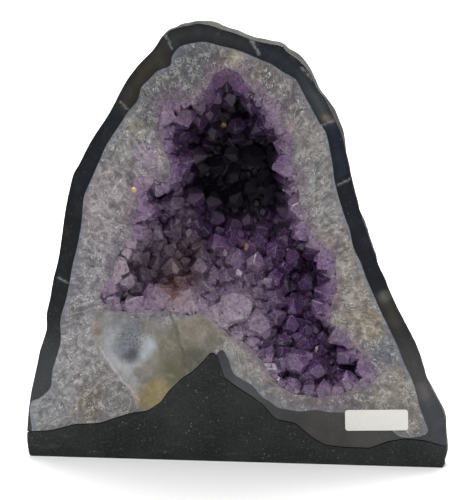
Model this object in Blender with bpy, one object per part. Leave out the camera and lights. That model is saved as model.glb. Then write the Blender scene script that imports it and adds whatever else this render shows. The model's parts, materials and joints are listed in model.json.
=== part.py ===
"""Half of an amethyst geode, sawn open at the front and sawn flat underneath so that it stands.

The cut face lies in the plane y = CUT_FACE_Y and looks along -Y. The stone stands on z = 0.
Five pieces: the basalt foot, the agate rind, the quartz band inside it, the crust of amethyst
crystals in the hollow, and a bare paper label.
"""

import math
import random

import bmesh
import bpy
import numpy as np
from mathutils import Matrix, Vector, noise
from mathutils.geometry import delaunay_2d_cdt

MM = 0.001

# The whole stone, in metres
CUT_FACE_Y = -0.040
STONE_DEPTH = 0.0885
RIND_BACK = 0.009  # thickness of the agate at the back
BACK_POLE = (0.0, 0.084)  # x and z of the middle of the back
DOME_POWER = 1.8  # higher is blunter at the back
DOME_SWELL = 0.035  # how much wider than its cut face the stone grows just behind it
LUMPS = 0.0028
LUMP_SCALE = 20
BULGE_SCALE = 9
SMOOTH_EDGE = 0.12  # share of the depth over which the lumps set in behind the cut face
FOOT_ROUND = 0.009
GAP = 0.0003
SAW_REACH = 0.006  # how far cutters stand out in front of the cut face

# The basalt foot's top behind the cut face
RIDGE_DEPTH = 0.075
BED_HEIGHT = 0.017
BED_WAVES = 0.004
BED_SCALE = 25
BEHIND_THE_STONE = 0.135
BELOW_THE_STONE = -0.020

# The hollow and its crystals
MOUTH_POINTS = 44
WALL_STEP = 0.011
WALL_MARGIN = 0.0022  # clear of the mouth's edge, besides the crust's thickness
WALL_ROUND = 0.016
RIM_DROP = 0.30
SHALLOWEST = 0.007
LEAST_DEPTH = 0.0015
DEPTH_BLEND = 4  # higher is a sharper corner between floor and back wall
CRUST_GAP = 0.0008
CRUST_THICK = 0.0045
CRUST_SETBACK = 0.0006
CRYSTAL_SPACING = 0.0165
CRYSTAL_TRIES = 9000
ROOT_SINK = 0.65  # share of the crust's thickness at which crystals start
SLOPE_STEP = 0.0008

# The label
LABEL_SIZE = (0.035, 0.0118)
LABEL_MIDDLE = (0.0795, 0.0262)
LABEL_THICK = 0.0003
LABEL_CORNER = 0.0016
LABEL_TURN = math.radians(2.0)

# Outlines on the cut face, as (x, z) in millimetres, clockwise from the lower left
STONE_OUTLINE = [
    (-118, 24), (-116, 38), (-112, 56), (-108, 67), (-107, 80), (-103, 102), (-98, 127), (-96, 141),
    (-92, 158), (-84, 175), (-76, 188), (-68, 201), (-61, 214), (-54, 223), (-44, 234), (-37, 241),
    (-29, 244), (-20, 245), (-9, 242), (4, 238), (13, 235), (24, 233), (28, 229), (37, 222),
    (41, 216), (44, 210), (52, 197), (58, 184), (61, 172), (65, 155), (72, 133), (79, 114),
    (88, 94), (98, 75), (106, 54), (112, 42), (117, 30), (118.5, 20),
]
# The nodule went on below the saw cut that made the foot
BELOW_THE_SAW = [
    (118, 6), (113, -16), (90, -44), (45, -60), (0, -64), (-45, -60), (-90, -44), (-113, -16),
    (-118.5, 6),
]
AGATE_INSIDE = [
    (-116, 8), (-116, 22), (-114, 31), (-109, 36), (-105, 42), (-102, 55), (-99, 70), (-96, 88),
    (-93, 105), (-89, 122), (-86, 140), (-84, 152), (-78, 166), (-71, 180), (-64, 191), (-58, 200),
    (-53, 210), (-44, 219), (-37, 223), (-33, 231), (-26, 234), (-16, 235), (-2, 231), (12, 226),
    (24, 220), (32, 214), (37, 206), (45, 192), (50, 180), (53, 166), (58, 147), (65, 123),
    (74, 102), (84, 81), (93, 61), (100, 45), (105, 31), (107, 22), (98, 19), (90, 21),
    (82, 26), (70, 29), (53, 30), (37, 30), (27, 31), (15, 38), (8, 45), (0, 51),
    (-5, 59), (-10, 65), (-14, 56), (-22, 45), (-30, 38), (-38, 30), (-46, 23), (-60, 17),
    (-80, 12), (-104, 7),
]
FOOT_RIDGE = [
    (-130, 14), (-105, 15), (-91, 19), (-77, 20), (-60, 26), (-49, 28), (-42, 33), (-38, 39),
    (-30, 47), (-19, 56), (-13, 63), (-9, 58), (-5, 48), (1, 43), (9, 38), (16, 33),
    (23, 25), (34, 23), (44, 15), (51, 11), (76, 10), (86, 14), (107, 15), (130, 12),
]
MOUTH = [
    (-76, 92), (-74, 100), (-68, 110), (-62, 122), (-58, 134), (-56, 146), (-53, 156), (-46, 163),
    (-42, 173), (-44, 184), (-42, 195), (-34, 203), (-24, 207), (-16, 213), (-8, 219), (-2, 219),
    (4, 213), (9, 208), (18, 204), (24, 198), (26, 190), (30, 180), (31, 170), (34, 156),
    (36, 142), (41, 130), (49, 122), (54, 113), (55, 102), (54, 92), (57, 83), (62, 75),
    (69, 66), (76, 59), (79, 52), (74, 45), (60, 40), (45, 38), (32, 40), (23, 47),
    (16, 57), (8, 66), (-2, 72), (-8, 78), (-20, 83), (-36, 85), (-52, 86), (-66, 86),
]
# Where the hollow's floor meets the cut face, as (x, z), and how steeply it falls away behind
FLOOR_LINE = [(-80, 86), (-40, 82), (-8, 72), (10, 62), (24, 42), (80, 42)]
FLOOR_SLOPE = 1.15
FLOOR_DROP = 0.014
LEAST_OVER_FLOOR = 0.002
# How deep the hollow may go at each height, as (z, depth)
BACK_WALL = [(40, 24), (60, 40), (100, 57), (150, 63), (180, 51), (205, 35), (225, 18)]
# Humps on the hollow's wall: middle x, middle z, half width, how far it stands forward
HUMPS = [(-34, 140, 13, 24), (4, 90, 18, 26), (46, 62, 12, 9)]


def closed_curve(points, count):
    """count points spaced evenly along the smooth closed curve through points, in metres."""
    fixed = np.array(points, float) * MM
    before, after, beyond = (np.roll(fixed, shift, axis=0) for shift in (1, -1, -2))
    steps = np.linspace(0, 1, 12, endpoint=False)[:, None, None]
    smooth = 0.5 * (
        2 * fixed
        + (after - before) * steps
        + (2 * before - 5 * fixed + 4 * after - beyond) * steps**2
        + (3 * fixed - before - 3 * after + beyond) * steps**3
    )
    dense = smooth.transpose(1, 0, 2).reshape(-1, 2)
    dense = np.vstack([dense, dense[:1]])
    along = np.concatenate([[0], np.cumsum(np.linalg.norm(np.diff(dense, axis=0), axis=1))])
    wanted = np.linspace(0, along[-1], count, endpoint=False)
    return np.column_stack([np.interp(wanted, along, dense[:, k]) for k in (0, 1)])


def flattened(z):
    """Height after the saw cut underneath, with the edge of the cut rounded."""
    if z <= -FOOT_ROUND:
        return 0.0
    if z >= FOOT_ROUND:
        return z
    return (z + FOOT_ROUND) ** 2 / (4 * FOOT_ROUND)


def dome_scale(share):
    """How wide the stone still is, against its cut face, at a share of its depth."""
    swell = DOME_SWELL * math.sin(math.pi * min(1.0, 2 * share))
    return (1 - share**DOME_POWER) ** 0.5 + swell


def lumpy(place, share):
    """A point of the stone's rough outside, sawn flat underneath."""
    pole_x, pole_z = BACK_POLE
    outward = Vector((place.x - pole_x, 0.6 * share * STONE_DEPTH, place.z - pole_z)).normalized()
    swell = noise.fractal(place * LUMP_SCALE, 1.0, 2.0, 2) + 0.6 * noise.noise(place * BULGE_SCALE)
    moved = place + outward * LUMPS * swell * min(1.0, share / SMOOTH_EDGE)
    return Vector((moved.x, moved.y, flattened(moved.z)))


def dome(name, outline, depth, rings, front_length=0.0, rough=False):
    """A closed solid lofted from an outline on the cut face back to a blunt pole."""
    pole_x, pole_z = BACK_POLE
    bm = bmesh.new()
    loops = []
    if front_length:
        loops.append([bm.verts.new((x, CUT_FACE_Y - front_length, z)) for x, z in outline])
    for share in rings:
        wide = dome_scale(share)
        loop = []
        for x, z in outline:
            ring_x = pole_x + (x - pole_x) * wide
            ring_z = pole_z + (z - pole_z) * wide
            place = Vector((ring_x, CUT_FACE_Y + depth * share, ring_z))
            loop.append(bm.verts.new(lumpy(place, share) if rough else place))
        loops.append(loop)
    for near, far in zip(loops, loops[1:]):
        for k in range(len(near)):
            n = (k + 1) % len(near)
            bm.faces.new((near[k], near[n], far[n], far[k]))
    bm.faces.new(loops[0])
    bmesh.ops.poke(bm, faces=[bm.faces.new(loops[-1])], offset=0.0)
    return new_object(name, bm)


def new_object(name, bm):
    bmesh.ops.remove_doubles(bm, verts=bm.verts, dist=1e-6)
    bmesh.ops.triangulate(bm, faces=bm.faces, quad_method="FIXED")
    bmesh.ops.recalc_face_normals(bm, faces=bm.faces)
    mesh = bpy.data.meshes.new(name)
    bm.to_mesh(mesh)
    bm.free()
    made = bpy.data.objects.new(name, mesh)
    bpy.context.scene.collection.objects.link(made)
    return made


def foot_height(x, y):
    """Top of the basalt foot: the ridge seen on the cut face, which sinks to a low bed behind."""
    ridge_x, ridge_z = np.array(FOOT_RIDGE, float).T * MM
    behind = min(1.0, max(0.0, (y - CUT_FACE_Y) / RIDGE_DEPTH))
    fade = behind * behind * (3 - 2 * behind)
    bed = BED_HEIGHT + BED_WAVES * noise.noise(Vector((x, y, 0)) * BED_SCALE)
    return float(np.interp(x, ridge_x, ridge_z)) * (1 - fade) + bed * fade


def foot_block(name, lift):
    """All the room under the foot's top, moved up or down by lift."""
    ridge_x = np.array(FOOT_RIDGE, float)[:, 0] * MM
    steps = (-2 * SAW_REACH, 0, RIDGE_DEPTH / 3, RIDGE_DEPTH * 2 / 3, RIDGE_DEPTH, BEHIND_THE_STONE)
    bm = bmesh.new()
    grid = []
    for y in [CUT_FACE_Y + step for step in steps]:
        grid.append([bm.verts.new((x, y, foot_height(x, y) + lift)) for x in ridge_x])
    for near, far in zip(grid, grid[1:]):
        for k in range(len(near) - 1):
            bm.faces.new((near[k], near[k + 1], far[k + 1], far[k]))
    under = bmesh.ops.extrude_face_region(bm, geom=list(bm.faces))
    for item in under["geom"]:
        if isinstance(item, bmesh.types.BMVert):
            item.co.z = BELOW_THE_STONE
    return new_object(name, bm)


def is_inside(x, z, outline):
    after = np.roll(outline, -1, axis=0)
    spans = (outline[:, 1] > z) != (after[:, 1] > z)
    first, last = outline[spans], after[spans]
    along = (z - first[:, 1]) / (last[:, 1] - first[:, 1])
    crossed = first[:, 0] + along * (last[:, 0] - first[:, 0])
    return bool((crossed > x).sum() % 2)


def edge_distance(x, z, outline):
    """Distance on the cut face from a point to an outline."""
    run = np.roll(outline, -1, axis=0) - outline
    point = np.array([x, z])
    share = np.clip(((point - outline) * run).sum(1) / (run * run).sum(1), 0, 1)
    return float(np.linalg.norm(outline + run * share[:, None] - point, axis=1).min())


def drawn_in(outline, inset):
    """An outline moved inwards by inset, corner by corner."""
    run = np.roll(outline, -1, axis=0) - outline
    run /= np.linalg.norm(run, axis=1)[:, None]
    inward = np.column_stack([run[:, 1], -run[:, 0]])
    corner = inward + np.roll(inward, 1, axis=0)
    corner /= np.linalg.norm(corner, axis=1)[:, None]
    lengthened = np.minimum(1.5, 1 / (corner * inward).sum(1))
    return outline + corner * (inset * lengthened)[:, None]


def hollow_depth(x, z, mouth, inset=0.0, at_rim=False):
    """How far the hollow's wall, drawn in by inset, lies behind the cut face at a point of that face."""
    floor_x, floor_z = np.array(FLOOR_LINE, float).T * MM
    wall_z, wall_deep = np.array(BACK_WALL, float).T * MM
    over_floor = FLOOR_DROP + FLOOR_SLOPE * (z - np.interp(x, floor_x, floor_z))
    over_floor = max(LEAST_OVER_FLOOR, over_floor)
    back_wall = np.interp(z, wall_z, wall_deep)
    deep = (over_floor**-DEPTH_BLEND + back_wall**-DEPTH_BLEND) ** (-1 / DEPTH_BLEND)
    for hump_x, hump_z, half_wide, forward in HUMPS:
        off = ((x / MM - hump_x) ** 2 + (z / MM - hump_z) ** 2) / half_wide**2
        deep -= forward * MM * math.exp(-off)
    near = min(1.0, max(0.0, edge_distance(x, z, mouth) - inset) / WALL_ROUND)
    steep = RIM_DROP + (1 - RIM_DROP) * math.sqrt(1 - (1 - near) ** 2)
    return (max(SHALLOWEST, deep) - inset) * (RIM_DROP if at_rim else steep)


def wall_net():
    """The mouth's outline and the points inside it, joined in triangles on the cut face."""
    mouth = closed_curve(MOUTH, MOUTH_POINTS)
    low, high = mouth.min(axis=0), mouth.max(axis=0)
    points = [tuple(point) for point in mouth]
    rise = WALL_STEP * math.sqrt(3) / 2
    clear = CRUST_THICK + WALL_MARGIN
    for row in range(int((high[1] - low[1]) / rise)):
        for column in range(int((high[0] - low[0]) / WALL_STEP) + 1):
            x = low[0] + (column + 0.5 * (row % 2)) * WALL_STEP
            z = low[1] + (row + 0.5) * rise
            if is_inside(x, z, mouth) and edge_distance(x, z, mouth) > clear:
                points.append((x, z))
    flat = [Vector(point) for point in points]
    found = delaunay_2d_cdt(flat, [], [list(range(MOUTH_POINTS))], 1, 1e-7)
    return mouth, [tuple(vert) for vert in found[0]], [tuple(face) for face in found[2]]


def bridge(bm, near, far):
    """Joins two rings of points with pairs of triangles."""
    for k in range(len(near)):
        n = (k + 1) % len(near)
        bm.faces.new((near[k], near[n], far[n]))
        bm.faces.new((near[k], far[n], far[k]))


def wall_sheet(bm, inset, front):
    """The hollow's wall, drawn in by inset, as a sheet whose rim is at y = front. Returns the rim."""
    mouth, points, faces = wall_net()
    edge = drawn_in(mouth, inset)
    flat = [tuple(edge[k]) if k < MOUTH_POINTS else point for k, point in enumerate(points)]
    sheet = []
    for k, (x, z) in enumerate(flat):
        deep = hollow_depth(x, z, mouth, inset, at_rim=k < MOUTH_POINTS)
        sheet.append(bm.verts.new((x, CUT_FACE_Y + max(LEAST_DEPTH, deep), z)))
    for face in faces:
        bm.faces.new([sheet[k] for k in face])
    rim = [bm.verts.new((x, front, z)) for x, z in edge]
    bridge(bm, rim, sheet[:MOUTH_POINTS])
    return rim


def hollow(name, inset, front):
    """The room of the hollow as a closed solid, reaching forward to y = front."""
    bm = bmesh.new()
    bm.faces.new(wall_sheet(bm, inset, front))
    return new_object(name, bm)


def crust_sheet(name, inset, front, thick):
    """The sheet that the crystals grow from, closed all round."""
    bm = bmesh.new()
    bridge(bm, wall_sheet(bm, inset, front), wall_sheet(bm, inset + thick, front))
    return new_object(name, bm)


def crystal_places():
    """Roots spread over the hollow's wall at an even distance, as (place, direction out of it)."""
    rng = random.Random(7)
    mouth = closed_curve(MOUTH, MOUTH_POINTS)
    low, high = mouth.min(axis=0), mouth.max(axis=0)
    taken = []
    for _ in range(CRYSTAL_TRIES):
        x, z = rng.uniform(low[0], high[0]), rng.uniform(low[1], high[1])
        if not is_inside(x, z, mouth) or edge_distance(x, z, mouth) < LEAST_DEPTH:
            continue
        deep = hollow_depth(x, z, mouth)
        slope_x = (hollow_depth(x + SLOPE_STEP, z, mouth) - deep) / SLOPE_STEP
        slope_z = (hollow_depth(x, z + SLOPE_STEP, mouth) - deep) / SLOPE_STEP
        # Steep parts of the wall have more area than their outline shows
        if rng.random() > math.sqrt(1 + slope_x**2 + slope_z**2) / 4:
            continue
        place = Vector((x, CUT_FACE_Y + deep, z))
        if all((place - other).length > CRYSTAL_SPACING for other, _ in taken):
            taken.append((place, Vector((slope_x, -1, slope_z)).normalized()))
    return taken


def crystals(name):
    """Six-sided crystals with pointed ends, rooted in the crust's sheet."""
    rng = random.Random(15)
    bm = bmesh.new()
    for place, outward in crystal_places():
        wide = CRYSTAL_SPACING * rng.uniform(0.46, 0.68)
        tall = wide * rng.uniform(0.6, 1.1)
        lean = Vector([rng.uniform(-0.3, 0.3) for _ in range(3)])
        turn = (outward + lean).to_track_quat("Z", "Y").to_matrix().to_4x4()
        spin = Matrix.Rotation(rng.uniform(0, math.pi / 3), 4, "Z")
        root = Matrix.Translation(place + outward * CRUST_THICK * ROOT_SINK)
        made = bmesh.ops.create_cone(
            bm,
            cap_ends=True,
            segments=6,
            radius1=wide * 0.55,
            radius2=wide,
            depth=tall,
            matrix=root @ turn @ spin @ Matrix.Translation((0, 0, tall / 2)),
        )
        axis = turn.to_3x3() @ Vector((0, 0, 1))
        caps = {face for vert in made["verts"] for face in vert.link_faces if len(face.verts) == 6}
        top = max(caps, key=lambda face: face.calc_center_median().dot(axis))
        bmesh.ops.poke(bm, faces=[top], offset=wide * rng.uniform(0.75, 1.0))
    return new_object(name, bm)


def boolean(target, operation, tool, overlapping=False):
    """Cuts or joins target with tool, keeps the result as target's own mesh, and hides the tool."""
    step = target.modifiers.new(operation.title(), "BOOLEAN")
    step.operation = operation
    step.object = tool
    step.use_self = overlapping
    bpy.context.view_layer.update()
    graph = bpy.context.evaluated_depsgraph_get()
    result = bpy.data.meshes.new_from_object(target.evaluated_get(graph))
    target.modifiers.remove(step)
    target.data = result
    tool.hide_render = True
    tool.display_type = "WIRE"


def keep_main_body(bm):
    """Drops the chips and the closed bubbles that the cuts leave beside the body itself."""
    left = set(bm.faces)
    bodies = []
    while left:
        body, border = set(), {left.pop()}
        while border:
            body |= border
            edges = {edge for face in border for edge in face.edges if len(edge.link_faces) == 2}
            border = {face for edge in edges for face in edge.link_faces} - body
        left -= body
        bodies.append(body)
    main_body = max(bodies, key=len)
    others = [face for face in bm.faces if face not in main_body]
    bmesh.ops.delete(bm, geom=others, context="FACES")


def tidy(piece, angle=0.4):
    """Joins faces that lie in one plane, so that the saw cuts are single faces."""
    bm = bmesh.new()
    bm.from_mesh(piece.data)
    keep_main_body(bm)
    flat = math.radians(angle)
    bmesh.ops.dissolve_limit(bm, angle_limit=flat, verts=bm.verts, edges=bm.edges)
    bmesh.ops.triangulate(bm, faces=bm.faces)
    bm.to_mesh(piece.data)
    bm.free()


def label(name):
    """A thin bare label with round corners, standing just clear of the cut face."""
    wide, high = LABEL_SIZE
    bm = bmesh.new()
    turn = Matrix.Rotation(-LABEL_TURN, 4, "Y")
    centre = Matrix.Translation((LABEL_MIDDLE[0], CUT_FACE_Y - GAP, LABEL_MIDDLE[1]))
    corners = []
    for side_x, side_z, start in ((1, 1, 0), (-1, 1, 90), (-1, -1, 180), (1, -1, 270)):
        for part in range(5):
            angle = math.radians(start + 22.5 * part)
            x = side_x * (wide / 2 - LABEL_CORNER) + LABEL_CORNER * math.cos(angle)
            z = side_z * (high / 2 - LABEL_CORNER) + LABEL_CORNER * math.sin(angle)
            corners.append(bm.verts.new(centre @ turn @ Vector((x, 0, z))))
    sheet = bmesh.ops.extrude_face_region(bm, geom=[bm.faces.new(corners)])
    moved = [item for item in sheet["geom"] if isinstance(item, bmesh.types.BMVert)]
    bmesh.ops.translate(bm, verts=moved, vec=(0, -LABEL_THICK, 0))
    return new_object(name, bm)


def finish(piece, colour, roughness):
    material = bpy.data.materials.new(piece.name)
    material.use_nodes = True
    shader = material.node_tree.nodes["Principled BSDF"]
    shader.inputs["Base Color"].default_value = (*colour, 1)
    shader.inputs["Roughness"].default_value = roughness
    shader.inputs["Metallic"].default_value = 0.0
    piece.data.materials.clear()
    piece.data.materials.append(material)


def collection(name, pieces):
    group = bpy.data.collections.new(name)
    bpy.context.scene.collection.children.link(group)
    for piece in pieces:
        bpy.context.scene.collection.objects.unlink(piece)
        group.objects.link(piece)


def main():
    for old in list(bpy.data.objects):
        bpy.data.objects.remove(old)

    outer_rings = (0.0, 0.10, 0.22, 0.36, 0.50, 0.63, 0.75, 0.85, 0.93, 0.985)
    inner_rings = (0.0, 0.15, 0.32, 0.50, 0.66, 0.80, 0.91, 0.98)
    outline = closed_curve(STONE_OUTLINE + BELOW_THE_SAW, 64)
    inside = closed_curve(AGATE_INSIDE, 60)
    inside_depth = STONE_DEPTH - RIND_BACK

    # The stone's outside, once for the foot and once for the rind
    foot = dome("basalt_foot", outline, STONE_DEPTH, outer_rings, rough=True)
    rind = dome("agate_rind", outline, STONE_DEPTH, outer_rings, rough=True)
    under_foot_top = foot_block("under_foot_top", -GAP)
    under_rind = foot_block("under_rind", GAP)
    boolean(foot, "INTERSECT", under_foot_top)

    core = dome("agate_core", inside, inside_depth, inner_rings, front_length=SAW_REACH)
    boolean(rind, "DIFFERENCE", core)
    boolean(rind, "DIFFERENCE", under_rind)

    # The quartz fills the rind, less a hair all round
    quartz = dome("quartz_band", drawn_in(inside, 1.3 * GAP), inside_depth - GAP, inner_rings)
    room = hollow("hollow_room", 0.0, CUT_FACE_Y - SAW_REACH)
    boolean(quartz, "DIFFERENCE", room)
    boolean(quartz, "DIFFERENCE", under_rind)

    # The crust is a sheet on the hollow's wall with the crystals grown out of it
    crust_front = CUT_FACE_Y + CRUST_SETBACK
    crust = crust_sheet("amethyst_crust", CRUST_GAP, crust_front, CRUST_THICK)
    growth = crystals("growth")
    growing_room = hollow("growing_room", GAP, CUT_FACE_Y)
    boolean(crust, "UNION", growth, overlapping=True)
    boolean(crust, "INTERSECT", growing_room)

    paper = label("paper_label")
    pieces = [foot, rind, quartz, crust, paper]
    for piece in pieces[:4]:
        tidy(piece)

    finish(foot, (0.045, 0.050, 0.052), 0.55)
    finish(rind, (0.035, 0.045, 0.060), 0.25)
    finish(quartz, (0.45, 0.44, 0.45), 0.30)
    finish(crust, (0.22, 0.12, 0.32), 0.15)
    finish(paper, (0.78, 0.76, 0.70), 0.50)

    tools = [under_foot_top, under_rind, core, room, growth, growing_room]
    collection("geode_half", pieces)
    collection("cutters", tools)


main()
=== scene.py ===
import math
import bmesh
import bpy
import numpy as np
from mathutils import Matrix, Quaternion, Vector, noise
from mathutils.geometry import delaunay_2d_cdt
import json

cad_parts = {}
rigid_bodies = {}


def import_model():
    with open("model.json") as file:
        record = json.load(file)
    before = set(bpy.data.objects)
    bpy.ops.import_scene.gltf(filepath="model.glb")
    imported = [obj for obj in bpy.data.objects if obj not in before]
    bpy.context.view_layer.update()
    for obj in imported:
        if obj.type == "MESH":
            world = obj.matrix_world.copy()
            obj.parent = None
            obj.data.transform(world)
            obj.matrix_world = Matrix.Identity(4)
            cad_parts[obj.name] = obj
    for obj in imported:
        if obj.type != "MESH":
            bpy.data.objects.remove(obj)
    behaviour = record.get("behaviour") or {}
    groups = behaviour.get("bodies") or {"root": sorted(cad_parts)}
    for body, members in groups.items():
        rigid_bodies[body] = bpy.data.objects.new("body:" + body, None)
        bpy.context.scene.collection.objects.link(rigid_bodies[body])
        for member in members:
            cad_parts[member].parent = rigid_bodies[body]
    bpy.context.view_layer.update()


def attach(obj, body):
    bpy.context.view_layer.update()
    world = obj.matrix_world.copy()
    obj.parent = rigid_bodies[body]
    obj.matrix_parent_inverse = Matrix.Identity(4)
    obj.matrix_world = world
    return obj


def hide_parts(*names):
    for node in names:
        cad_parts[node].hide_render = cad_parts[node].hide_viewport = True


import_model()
noise.seed_set(8)  # noise_vector starts from the clock otherwise

mm = 0.001
cutY = -0.040  # the sawn front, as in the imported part
gap = 0.0003  # between neighbouring pieces
poleX, poleZ = 0.0, 0.084  # the point that the rounded back narrows to
# the whole stone, in metres: its depth, the rind behind the quartz, the rounding of the back's lower edge,
# and how far the rough skin swells and dips
stone = {"depth": 0.0885, "rindBack": 0.009, "footRound": 0.009,
         "swell": 0.0028, "pits": 0.0007, "nubs": 0.0014}

# outlines on the cut face, (x, z) in mm, clockwise
stoneLine = [
    (-118, 24), (-117, 32), (-116, 38), (-114, 47), (-112, 56), (-111, 61), (-109, 67), (-107, 74),
    (-107, 82), (-105, 91), (-103, 102), (-100, 114), (-98, 127), (-96, 141), (-93, 155), (-91, 162),
    (-88, 167), (-84, 175), (-80, 182), (-76, 188), (-72, 194), (-68, 201), (-65, 207), (-61, 214),
    (-58, 218), (-54, 223), (-47, 230), (-44, 234), (-41, 238), (-37, 241), (-32, 243), (-26, 244),
    (-22, 245), (-15, 244), (-9, 242), (-2, 240), (6, 237), (13, 235), (24, 233), (27, 230),
    (33, 226), (37, 222), (40, 218), (44, 210), (48, 205), (52, 197), (55, 191), (58, 184),
    (60, 176), (63, 163), (65, 155), (68, 144), (72, 133), (76, 122), (79, 114), (83, 105),
    (88, 94), (92, 86), (98, 75), (103, 64), (106, 54), (109, 46), (114, 37), (117, 29), (118, 20),
    (118, 6), (113, -16), (90, -44), (45, -60), (0, -64), (-45, -60), (-90, -44), (-113, -16), (-118.5, 6),
]
agateLine = [
    (-116, 8), (-116, 16), (-117, 30), (-111, 34), (-105, 40), (-104, 49), (-101, 59), (-99, 67),
    (-99, 79), (-96, 90), (-94, 99), (-92, 110), (-89, 122), (-87, 133), (-86, 143), (-85, 150),
    (-81, 159), (-77, 168), (-73, 177), (-68, 185), (-64, 191), (-60, 197), (-55, 203), (-53, 210),
    (-48, 215), (-44, 219), (-37, 222), (-36, 227), (-32, 232), (-26, 234), (-18, 235), (-10, 233),
    (-1, 231), (7, 228), (14, 225), (19, 223), (25, 219), (32, 215), (36, 208), (40, 201), (45, 192),
    (49, 186), (51, 178), (53, 168), (54, 160), (57, 149), (60, 140), (63, 132), (65, 123), (69, 115),
    (72, 107), (76, 98), (81, 87), (86, 77), (90, 69), (94, 59), (98, 51), (101, 43), (103, 35),
    (106, 27), (108, 20), (101, 17), (93, 17), (86, 22), (79, 26), (70, 29), (62, 30), (53, 30),
    (45, 31), (37, 30), (29, 31), (24, 32), (20, 35), (15, 38), (10, 44), (3, 48), (-1, 51), (-4, 59),
    (-8, 64), (-14, 56), (-22, 45), (-30, 38), (-38, 30), (-46, 23), (-60, 17), (-80, 12), (-104, 7),
]
ridgeLine = [
    (-130, 14), (-118, 14), (-105, 15), (-91, 19), (-77, 20), (-60, 26), (-49, 28), (-42, 33), (-38, 39),
    (-30, 47), (-24, 51), (-19, 56), (-13, 63), (-10, 60), (-6, 48), (1, 43), (9, 38), (16, 33),
    (23, 25), (34, 23), (44, 15), (51, 11), (62, 10), (76, 10), (86, 14), (96, 16), (107, 15),
    (118, 12), (130, 12),
]
mouthLine = [
    (-8, 220), (-3, 220), (2, 217), (7, 209), (14, 207), (19, 205), (24, 202), (23, 194), (25, 188),
    (30, 183), (30, 171), (33, 163), (35, 149), (37, 139), (41, 131), (48, 124), (54, 117), (56, 107),
    (56, 98), (53, 90), (53, 81), (61, 76), (67, 67), (74, 61), (79, 55), (78, 48), (66, 43), (53, 39),
    (39, 39), (28, 42), (21, 49), (15, 58), (7, 67), (-2, 71), (-8, 77), (-17, 84), (-27, 83), (-36, 85),
    (-48, 86), (-58, 84), (-67, 86), (-76, 91), (-74, 99), (-69, 106), (-68, 114), (-64, 119),
    (-59, 127), (-58, 139), (-55, 145), (-59, 154), (-56, 161), (-48, 160), (-38, 158), (-37, 167),
    (-41, 178), (-44, 187), (-43, 196), (-38, 203), (-26, 204), (-18, 208), (-15, 214),
]
# the hollow: floor and back wall, (x, z) and (z, depth), and humps of x, z, half width, forward
floorLine = [(-80, 86), (-40, 82), (-8, 72), (10, 62), (24, 42), (80, 42)]
backWall = [(40, 24), (60, 40), (100, 57), (150, 63), (180, 51), (205, 35), (225, 18)]
humps = [(-34, 140, 13, 24), (4, 90, 18, 26), (46, 62, 12, 9)]


def closedLine(points, step):
    # evenly spaced points on the smooth closed curve, in metres
    fixed = np.array(points, float) * mm
    before, after, beyond = (np.roll(fixed, s, axis=0) for s in (1, -1, -2))
    t = np.linspace(0, 1, 12, endpoint=False)[:, None, None]
    smooth = 0.5 * (2 * fixed + (after - before) * t + (2 * before - 5 * fixed + 4 * after - beyond) * t**2
                    + (3 * fixed - before - 3 * after + beyond) * t**3)
    dense = smooth.transpose(1, 0, 2).reshape(-1, 2)
    dense = np.vstack([dense, dense[:1]])
    along = np.concatenate([[0], np.cumsum(np.linalg.norm(np.diff(dense, axis=0), axis=1))])
    wanted = np.linspace(0, along[-1], int(along[-1] / step), endpoint=False)
    return np.column_stack([np.interp(wanted, along, dense[:, k]) for k in (0, 1)])


def roughened(outline, size, scale, seed):
    # moves each point of an outline a little to and fro
    return np.array([
        (x + size * noise.noise(Vector((x * scale, z * scale, seed))),
         z + size * noise.noise(Vector((x * scale, z * scale, seed + 9.5))))
        for x, z in outline
    ])


def insideOf(points, outline):
    after = np.roll(outline, -1, axis=0)
    odd = np.zeros(len(points), bool)
    for (x0, z0), (x1, z1) in zip(outline, after):
        if z0 == z1:
            continue
        spans = (points[:, 1] < z0) != (points[:, 1] < z1)
        odd ^= spans & (points[:, 0] < x0 + (points[:, 1] - z0) / (z1 - z0) * (x1 - x0))
    return odd


def distanceTo(points, outline, closed=True):
    # distance from each point to a line, in the same unit
    starts = outline if closed else outline[:-1]
    ends = np.roll(outline, -1, axis=0) if closed else outline[1:]
    best = np.full(len(points), 1e9)
    for a, b in zip(starts, ends):
        run = b - a
        share = np.clip((points - a) @ run / max(1e-12, run @ run), 0, 1)
        best = np.minimum(best, np.hypot(*(points - a - share[:, None] * run).T))
    return best


def domeScale(share):
    # how much of the cut face's outline is left at a share of the depth
    return (1 - share**1.8) ** 0.5 + 0.035 * math.sin(math.pi * min(1.0, 2 * share))


def flattened(z):
    # the back's lower edge is rounded off flat on the ground
    reach = stone["footRound"]
    if z <= -reach:
        return 0.0
    return z if z >= reach else (z + reach) ** 2 / (4 * reach)


def footHeight(x, y):
    # top of the basalt foot: the ridge line in front, an uneven bed behind
    ridgeX, ridgeZ = np.array(ridgeLine, float).T * mm
    behind = min(1.0, max(0.0, (y - cutY) / 0.075))
    fade = behind * behind * (3 - 2 * behind)
    bed = 0.017 + 0.004 * noise.noise(Vector((x, y, 0)) * 25)
    return float(np.interp(x, ridgeX, ridgeZ)) * (1 - fade) + bed * fade


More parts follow.
